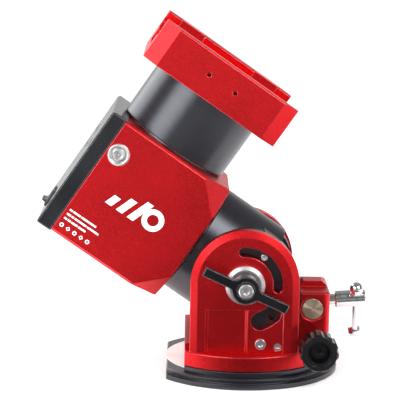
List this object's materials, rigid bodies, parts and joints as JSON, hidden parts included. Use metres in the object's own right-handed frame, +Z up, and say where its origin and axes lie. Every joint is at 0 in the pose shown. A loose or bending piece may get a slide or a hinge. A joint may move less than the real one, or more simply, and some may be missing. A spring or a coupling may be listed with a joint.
{
  "type": "equatorial mount",
  "caption": "Compact equatorial telescope mount: round base, tilting fork, geared head and a clamping dovetail saddle.",
  "frame": {"origin": "middle of the base plate's underside, on the azimuth axis and the tripod thread", "axes": "+Z up; +X from the head side towards the altitude screw; the altitude pivot is parallel to Y"},
  "size_m": [0.2378, 0.1492, 0.2564],
  "materials": {
    "red_anodised": "fine bead-blasted and anodised red",
    "black_anodised": "satin black anodised",
    "cover_dark": "fine-grained dark moulding",
    "bright_steel": "turned and brushed",
    "chrome": "polished",
    "lever_black": "black powder coat",
    "brass": "turned face",
    "bronze": "sintered bearing bronze",
    "black_plastic": "moulded",
    "white_print": "screen-printed marks",
    "belt_rubber": "toothed drive belt",
    "board_green": "solder-masked board",
    "spring_steel": "ground gear steel",
    "motor_case": "painted steel laminations"
  },
  "bodies": {
    "base": {"base_plate": "black_anodised", "azimuth_journal": "spring_steel", "retaining_cap": "black_anodised", "retaining_screws": "bright_steel", "azimuth_post": "bright_steel", "thrust_washer": "black_plastic"},
    "fork": {"azimuth_ring": "black_anodised", "fork_foot": "red_anodised", "front_wall": "red_anodised", "near_cheek": "red_anodised", "far_cheek": "red_anodised", "pivot_bushes": "bronze", "latitude_rings": "bright_steel", "cheek_screws": "bright_steel", "rear_block": "red_anodised"},
    "barrel": {"ra_barrel": "black_anodised", "pivot_pins": "spring_steel", "latitude_screws": "bright_steel", "nut_pins": "spring_steel", "ra_circular_spline": "spring_steel", "ra_bearing": "spring_steel"},
    "head": {"ra_flexspline": "spring_steel", "ra_spindle": "spring_steel", "head_housing": "red_anodised", "counterweight_insert": "black_anodised", "power_button_bezel": "bright_steel", "electronics_cover": "cover_dark", "cover_screws": "bright_steel", "port_sockets": "black_plastic", "main_board": "board_green", "rocker_frame": "black_plastic", "motors": "motor_case", "drive_belts": "belt_rubber", "dec_circular_spline": "spring_steel", "dec_bearing": "spring_steel"},
    "ra_wave": {"ra_wave_generator": "spring_steel"},
    "ra_pulley": {"ra_motor_pulley": "spring_steel"},
    "dec_wave": {"dec_wave_generator": "spring_steel"},
    "dec_pulley": {"dec_motor_pulley": "spring_steel"},
    "dec_rotor": {"dec_flexspline": "spring_steel", "dec_drum": "black_anodised", "saddle_base": "red_anodised", "saddle_screws": "bright_steel"},
    "jaw": {"moving_jaw": "red_anodised"},
    "clamp_upper": {"clamp_knob_upper": "black_plastic"},
    "clamp_lower": {"clamp_knob_lower": "black_plastic"},
    "button": {"power_button": "bright_steel"},
    "rocker": {"power_rocker": "black_plastic"},
    "near_lever": {"near_lock_lever": "lever_black", "near_lever_screw": "bright_steel"},
    "far_lever": {"far_lock_lever": "lever_black", "far_lever_screw": "bright_steel"},
    "trunnion": {"brass_trunnion": "brass"},
    "alt_screw": {"altitude_screw": "chrome"},
    "tee": {"tee_bar": "chrome"},
    "nut": {"altitude_nut": "spring_steel"},
    "near_tip": {"near_azimuth_tip": "brass"},
    "near_knob": {"near_azimuth_knob": "black_plastic"},
    "far_tip": {"far_azimuth_tip": "brass"},
    "far_knob": {"far_azimuth_knob": "black_plastic"}
  },
  "joints": [
    {"name": "azimuth_turn", "type": "hinge", "parent": "base", "child": "fork", "pos_m": [0, 0, 0], "axis": [0, 0, 1], "range_deg": [-5, 5]},
    {"name": "altitude_tilt", "type": "hinge", "parent": "fork", "child": "barrel", "pos_m": [0, 0, 0.0715], "axis": [0, 1, 0], "range_deg": [-34.27, 55.73]},
    {"name": "ra_turn", "type": "hinge", "parent": "barrel", "child": "head", "pos_m": [0, 0, 0.0715], "axis": [-0.8264, 0, 0.5631], "range_deg": [-95, 95]},
    {"name": "dec_turn", "type": "hinge", "parent": "head", "child": "dec_rotor", "pos_m": [-0.07909, 0, 0.12539], "axis": [0.5631, 0, 0.8264], "continuous": true},
    {"name": "ra_wave_spin", "type": "hinge", "parent": "head", "child": "ra_wave", "pos_m": [0, 0, 0.0715], "axis": [-0.8264, 0, 0.5631], "continuous": true},
    {"name": "ra_motor_spin", "type": "hinge", "parent": "head", "child": "ra_pulley", "pos_m": [-0.05799, 0.026, 0.0965], "axis": [-0.8264, 0, 0.5631], "continuous": true},
    {"name": "dec_wave_spin", "type": "hinge", "parent": "head", "child": "dec_wave", "pos_m": [-0.07909, 0, 0.12539], "axis": [0.5631, 0, 0.8264], "continuous": true},
    {"name": "dec_motor_spin", "type": "hinge", "parent": "head", "child": "dec_pulley", "pos_m": [-0.07566, 0.022, 0.15936], "axis": [0.5631, 0, 0.8264], "continuous": true},
    {"name": "trunnion_swivel", "type": "hinge", "parent": "fork", "child": "trunnion", "pos_m": [0.0498, 0, 0.0488], "axis": [0, 1, 0], "range_deg": [-3.5, 2.2]},
    {"name": "altitude_screw_spin", "type": "hinge", "parent": "trunnion", "child": "alt_screw", "pos_m": [0.0498, 0, 0.0488], "axis": [0.9973, 0, 0.0732], "continuous": true},
    {"name": "altitude_nut_slide", "type": "slide", "parent": "trunnion", "child": "nut", "axis": [-0.9973, 0, -0.0732], "range_m": [-0.0104, 0.0168]},
    {"name": "tee_bar_slide", "type": "slide", "parent": "alt_screw", "child": "tee", "axis": [-0.0544, -0.6691, 0.7411], "range_m": [0, 0.0317]},
    {"name": "near_lever_turn", "type": "hinge", "parent": "fork", "child": "near_lever", "pos_m": [0, 0, 0.0715], "axis": [0, 1, 0], "range_deg": [-90, 0]},
    {"name": "far_lever_turn", "type": "hinge", "parent": "fork", "child": "far_lever", "pos_m": [0, 0, 0.0715], "axis": [0, -1, 0], "range_deg": [-90, 0]},
    {"name": "power_button_press", "type": "slide", "parent": "head", "child": "button", "axis": [0, 1, 0], "range_m": [0, 0.0012], "stiffness_N_per_m": 600, "springref_m": -0.001},
    {"name": "power_rocker_tilt", "type": "hinge", "parent": "head", "child": "rocker", "pos_m": [-0.13925, -0.01, 0.125], "axis": [0, -1, 0], "range_deg": [0, 14]},
    {"name": "jaw_clamp", "type": "slide", "parent": "dec_rotor", "child": "jaw", "axis": [0, -1, 0], "range_m": [0, 0.0085]},
    {"name": "clamp_upper_spin", "type": "hinge", "parent": "jaw", "child": "clamp_upper", "pos_m": [-0.05343, 0.058, 0.22165], "axis": [0, -1, 0], "continuous": true},
    {"name": "clamp_lower_spin", "type": "hinge", "parent": "jaw", "child": "clamp_lower", "pos_m": [0.00112, 0.058, 0.18449], "axis": [0, -1, 0], "continuous": true},
    {"name": "near_tip_slide", "type": "slide", "parent": "fork", "child": "near_tip", "axis": [0, -1, 0], "range_m": [-0.0047, 0.0047]},
    {"name": "near_knob_spin", "type": "hinge", "parent": "near_tip", "child": "near_knob", "pos_m": [0.0525, -0.053, 0.0265], "axis": [0, 1, 0], "continuous": true},
    {"name": "far_tip_slide", "type": "slide", "parent": "fork", "child": "far_tip", "axis": [0, -1, 0], "range_m": [-0.0047, 0.0047]},
    {"name": "far_knob_spin", "type": "hinge", "parent": "far_tip", "child": "far_knob", "pos_m": [0.0525, 0.053, 0.0265], "axis": [0, -1, 0], "continuous": true}
  ],
  "couplings": [
    {"joint": "ra_wave_spin", "follows": "ra_turn", "ratio": -101},
    {"joint": "ra_motor_spin", "follows": "ra_turn", "ratio": -303},
    {"joint": "dec_wave_spin", "follows": "dec_turn", "ratio": -100},
    {"joint": "dec_motor_spin", "follows": "dec_turn", "ratio": -300},
    {"joint": "trunnion_swivel", "follows": "altitude_tilt", "ratio": -0.06},
    {"joint": "altitude_screw_spin", "follows": "altitude_tilt", "ratio": 86.4},
    {"joint": "altitude_nut_slide", "follows": "altitude_tilt", "m_per_rad": 0.017189},
    {"joint": "clamp_upper_spin", "follows": "jaw_clamp", "rad_per_m": 7854},
    {"joint": "clamp_lower_spin", "follows": "jaw_clamp", "rad_per_m": 7854},
    {"joint": "near_tip_slide", "follows": "azimuth_turn", "m_per_rad": 0.0525},
    {"joint": "far_tip_slide", "follows": "azimuth_turn", "m_per_rad": 0.0525},
    {"joint": "near_knob_spin", "follows": "azimuth_turn", "ratio": -329.87},
    {"joint": "far_knob_spin", "follows": "azimuth_turn", "ratio": 329.87}
  ]
}
